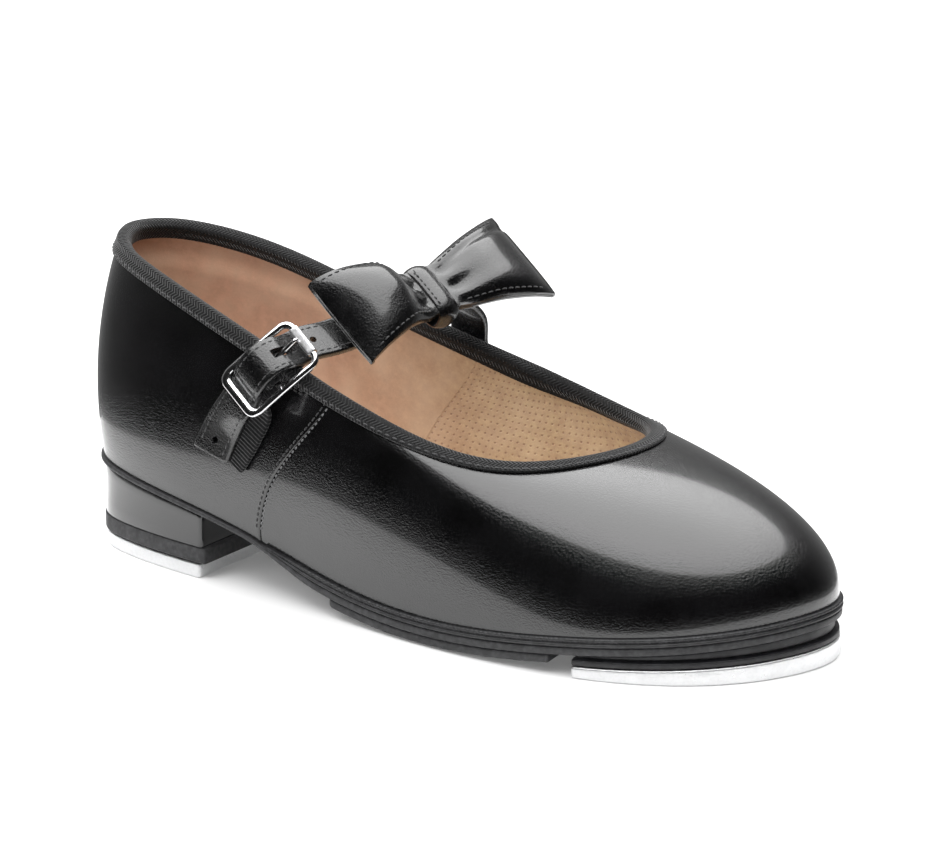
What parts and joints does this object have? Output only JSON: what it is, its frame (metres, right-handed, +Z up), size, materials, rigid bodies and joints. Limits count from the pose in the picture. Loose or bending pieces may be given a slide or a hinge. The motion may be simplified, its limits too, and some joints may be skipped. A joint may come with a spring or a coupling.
{
  "type": "tap shoe",
  "caption": "Low-heeled Mary Jane dance shoe with metal taps at toe and heel, a buckled instep strap with a sliding bow, bound topline and stacked sole.",
  "frame": {"origin": "middle of the heel tap's ground face, on the ground", "axes": "+X towards the toe, +Y towards the inner side of the foot, +Z up"},
  "size_m": [0.1808, 0.0712, 0.072],
  "materials": {
    "black_upper": "semi-gloss, fine even grain",
    "ribbed_binding": "ribbed woven tape, matt",
    "tan_lining": "soft brushed lining with tiny perforations, matt",
    "stiffener": "resin-filled cloth",
    "fibre_board": "pressed cellulose board",
    "cork": "granulated cork sheet",
    "spring_steel": "bright steel",
    "sole_rubber": "black rubber, satin, slightly scuffed",
    "black_board": "black board with a cut edge",
    "heel_wrap": "glossy black heel cover",
    "tap_aluminium": "bright satin cast metal",
    "buckle_chrome": "polished plating",
    "ribbed_elastic": "woven ribbed elastic"
  },
  "bodies": {
    "shoe": {"vamp": "black_upper", "quarter_lateral": "black_upper", "quarter_medial": "black_upper", "topline_binding": "ribbed_binding", "vamp_lining": "tan_lining", "quarter_lining": "tan_lining", "heel_counter": "stiffener", "toe_puff": "stiffener", "sock_liner": "tan_lining", "insole_board": "fibre_board", "shank": "spring_steel", "bottom_filler": "cork", "welt": "sole_rubber", "outsole": "sole_rubber", "half_sole": "sole_rubber", "toe_rubber_wedge": "black_board", "toe_tap_board": "black_board", "toe_tap": "tap_aluminium", "heel_block": "heel_wrap", "heel_top_lift": "sole_rubber", "heel_tap": "tap_aluminium", "toe_tap_screw_1": "spring_steel", "toe_tap_screw_2": "spring_steel", "toe_tap_screw_3": "spring_steel", "heel_tap_screw_1": "spring_steel", "heel_tap_screw_2": "spring_steel", "heel_tap_screw_3": "spring_steel", "heel_nail_1": "spring_steel", "heel_nail_2": "spring_steel", "heel_nail_3": "spring_steel", "heel_nail_4": "spring_steel", "heel_screw": "spring_steel", "elastic_loop": "ribbed_elastic"},
    "strap": {"strap": "black_upper"},
    "bow": {"bow_loop": "black_upper", "bow_knot": "black_upper"},
    "buckle": {"buckle_frame": "buckle_chrome"},
    "roller": {"buckle_roller": "buckle_chrome"},
    "prong": {"buckle_prong": "buckle_chrome"}
  },
  "joints": [
    {"name": "strap_swing", "type": "hinge", "parent": "shoe", "child": "strap", "pos_m": [0.0586, 0.025, 0.05], "axis": [-0.951, -0.1302, 0.2803], "range_deg": [0, 120], "deforming": ["strap"]},
    {"name": "bow_slide", "type": "slide", "parent": "strap", "child": "bow", "axis": [0.236, 0.9669, 0.097], "range_m": [-0.0025, 0.0005]},
    {"name": "buckle_rock", "type": "hinge", "parent": "shoe", "child": "buckle", "pos_m": [0.04311, -0.03095, 0.05173], "axis": [0.8061, -0.15, -0.5724], "range_deg": [-2.5, 1.5]},
    {"name": "roller_turn", "type": "hinge", "parent": "buckle", "child": "roller", "pos_m": [0.04836, -0.02543, 0.05768], "axis": [0.8061, -0.15, -0.5724], "range_deg": [-7, 7]},
    {"name": "prong_lift", "type": "hinge", "parent": "buckle", "child": "prong", "pos_m": [0.04311, -0.03095, 0.05173], "axis": [0.8061, -0.15, -0.5724], "range_deg": [0, 18]}
  ]
}
